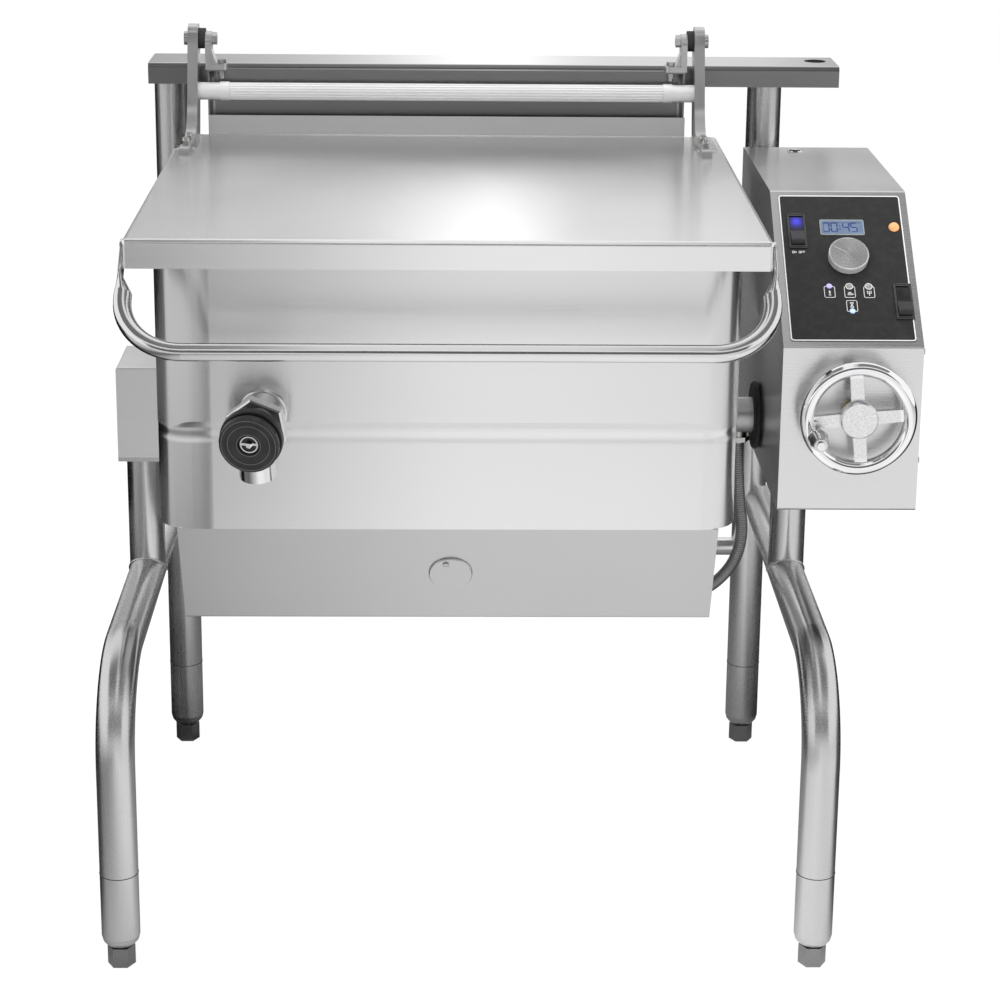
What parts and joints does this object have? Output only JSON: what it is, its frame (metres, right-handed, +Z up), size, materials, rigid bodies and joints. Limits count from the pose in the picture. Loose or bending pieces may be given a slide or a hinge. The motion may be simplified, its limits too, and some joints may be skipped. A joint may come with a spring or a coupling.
{
  "type": "tilting skillet",
  "caption": "Floor-standing tilting cooking pan with hinged lid and bail handle, worm handwheel drive, sloped control console, front draw-off valve and rear faucet shelf.",
  "frame": {"origin": "middle of the bounding box at floor level, under the feet", "axes": "+Z up; -Y towards the cook, where the lid opens and the pan pours; +X towards the control console"},
  "size_m": [1.089, 0.9361, 1.156],
  "materials": {
    "brushed_stainless": "fine brushed grain, lightly polished",
    "polished_tube": "polished stainless tube",
    "chrome": "bright chrome plating",
    "cast_aluminium": "satin machined aluminium",
    "zinc_steel": "plain plated fasteners",
    "cast_iron": "dark cast iron",
    "bronze": "plain bearing bronze",
    "black_rubber": "matte moulded rubber",
    "black_plastic": "satin moulded plastic",
    "overlay_film": "dark printed film with a light border",
    "display_glass": "clear window over blue digits",
    "lamp_lens": "tinted lenses",
    "circuit_board": "green board",
    "mineral_slab": "pressed mineral insulation"
  },
  "bodies": {
    "frame": {"side_tube_left": "polished_tube", "side_tube_right": "polished_tube", "rear_legs": "polished_tube", "middle_posts": "polished_tube", "rear_tie_tube": "polished_tube", "bullet_feet": "polished_tube", "faucet_shelf": "brushed_stainless", "bearing_blocks": "cast_iron", "bearing_housing": "brushed_stainless", "console_shell": "brushed_stainless", "console_side_cover": "brushed_stainless", "cover_screws": "zinc_steel", "top_plug": "chrome", "control_overlay": "overlay_film", "display_window": "display_glass", "indicator_lamps": "lamp_lens", "switch_frames": "black_plastic", "control_board": "circuit_board", "worm_supports": "cast_iron", "shaft_bushes": "bronze"},
    "pan": {"cooking_pan": "brushed_stainless", "lower_casing": "brushed_stainless", "heater_box": "brushed_stainless", "cast_heaters": "cast_aluminium", "insulation_slab": "mineral_slab", "cross_channel": "zinc_steel", "trunnion_left": "polished_tube", "trunnion_right": "polished_tube", "seal_disc": "black_rubber", "worm_wheel": "bronze", "rear_riser": "brushed_stainless", "hinge_brackets": "cast_aluminium", "hinge_pins": "zinc_steel", "hinge_bushes": "black_rubber", "bracket_bolts": "zinc_steel", "valve_body": "chrome", "heater_conduit": "zinc_steel", "conduit_glands": "zinc_steel", "access_screw": "zinc_steel"},
    "lid": {"lid_panel": "brushed_stainless", "lid_handle": "polished_tube", "lid_arm_left": "cast_aluminium", "lid_arm_right": "cast_aluminium", "arm_plates": "zinc_steel", "arm_cap_nuts": "zinc_steel", "spreader_bar": "polished_tube"},
    "handwheel": {"handwheel": "chrome", "worm_shaft": "polished_tube"},
    "crank_grip": {"crank_grip": "chrome"},
    "timer_knob": {"timer_knob": "cast_aluminium"},
    "power_rocker": {"power_rocker": "black_plastic"},
    "function_rocker": {"function_rocker": "black_plastic"},
    "access_cover": {"access_cover": "brushed_stainless"},
    "valve_knob": {"valve_knob": "black_plastic", "valve_stem": "polished_tube"},
    "valve_plug": {"valve_plug": "polished_tube"},
    "levelling_foot_front_left": {"levelling_foot_front_left": "zinc_steel"},
    "levelling_foot_front_right": {"levelling_foot_front_right": "zinc_steel"},
    "levelling_foot_rear_left": {"levelling_foot_rear_left": "zinc_steel"},
    "levelling_foot_rear_right": {"levelling_foot_rear_right": "zinc_steel"}
  },
  "joints": [
    {"name": "pan_tilt", "type": "hinge", "parent": "frame", "child": "pan", "pos_m": [-0.0845, 0.07805, 0.642], "axis": [1, 0, 0], "range_deg": [0, 90]},
    {"name": "lid_hinge", "type": "hinge", "parent": "pan", "child": "lid", "pos_m": [-0.0885, 0.34005, 1.135], "axis": [-1, 0, 0], "range_deg": [0, 80]},
    {"name": "handwheel_turn", "type": "hinge", "parent": "frame", "child": "handwheel", "pos_m": [0.4545, -0.18395, 0.7156], "axis": [0, 1, 0], "range_deg": [0, 2700]},
    {"name": "crank_grip_spin", "type": "hinge", "parent": "handwheel", "child": "crank_grip", "pos_m": [0.3989, -0.21195, 0.6943], "axis": [0, 1, 0], "continuous": true},
    {"name": "timer_knob_turn", "type": "hinge", "parent": "frame", "child": "timer_knob", "pos_m": [0.4535, -0.0463, 0.90319], "axis": [0, -0.6432, 0.7657], "continuous": true},
    {"name": "power_rocker_press", "type": "hinge", "parent": "frame", "child": "power_rocker", "pos_m": [0.3881, -0.00207, 0.92206], "axis": [1, 0, 0], "range_deg": [0, 18]},
    {"name": "function_rocker_press", "type": "hinge", "parent": "frame", "child": "function_rocker", "pos_m": [0.5225, -0.09204, 0.84649], "axis": [1, 0, 0], "range_deg": [0, 18]},
    {"name": "access_cover_swing", "type": "hinge", "parent": "pan", "child": "access_cover", "pos_m": [-0.0865, -0.3136, 0.56006], "axis": [0, -0.892, -0.452], "range_deg": [-120, 120]},
    {"name": "valve_knob_turn", "type": "hinge", "parent": "pan", "child": "valve_knob", "pos_m": [-0.32411, -0.43458, 0.75678], "axis": [-0.1366, -0.9721, -0.1908], "range_deg": [0, 720]},
    {"name": "valve_plug_lift", "type": "slide", "parent": "pan", "child": "valve_plug", "axis": [-0.1366, -0.9721, -0.1908], "range_m": [0, 0.01]},
    {"name": "levelling_foot_front_left_turn", "type": "hinge", "parent": "frame", "child": "levelling_foot_front_left", "pos_m": [-0.5145, -0.32195, 0.013], "axis": [0, 0, 1], "continuous": true},
    {"name": "levelling_foot_front_right_turn", "type": "hinge", "parent": "frame", "child": "levelling_foot_front_right", "pos_m": [0.4035, -0.32195, 0.013], "axis": [0, 0, 1], "continuous": true},
    {"name": "levelling_foot_rear_left_turn", "type": "hinge", "parent": "frame", "child": "levelling_foot_rear_left", "pos_m": [-0.4995, 0.40805, 0.013], "axis": [0, 0, 1], "continuous": true},
    {"name": "levelling_foot_rear_right_turn", "type": "hinge", "parent": "frame", "child": "levelling_foot_rear_right", "pos_m": [0.3885, 0.40805, 0.013], "axis": [0, 0, 1], "continuous": true}
  ],
  "couplings": [
    {"joint": "handwheel_turn", "follows": "pan_tilt", "ratio": 30},
    {"joint": "valve_plug_lift", "follows": "valve_knob_turn", "m_per_rad": 0.00079577}
  ]
}
